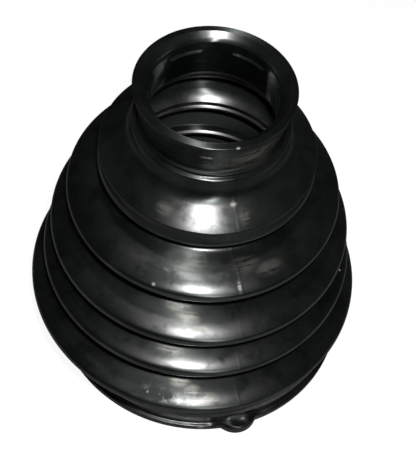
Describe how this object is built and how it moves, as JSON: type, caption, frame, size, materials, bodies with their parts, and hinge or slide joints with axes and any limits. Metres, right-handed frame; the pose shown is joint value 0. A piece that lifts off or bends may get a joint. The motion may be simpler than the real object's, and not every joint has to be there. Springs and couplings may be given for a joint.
{
  "type": "rubber bellows boot",
  "caption": "Tapered rubber bellows boot that seals a shaft joint: folds between a small collar with a ribbed bore and a large collar with a clamp seat and a lug",
  "frame": {"origin": "centre of the large end's mouth, on the axis, in the plane of its foot", "axes": "+Z runs along the axis from the large end to the small end; -Y is the front, and the lug stands 21 degrees from it towards +X"},
  "size_m": [0.0902, 0.0902, 0.0924],
  "materials": {
    "boot_rubber": "glossy moulded black rubber with dusty scuffs"
  },
  "bodies": {
    "root": {"bellows_boot": "boot_rubber"}
  },
  "joints": []
}
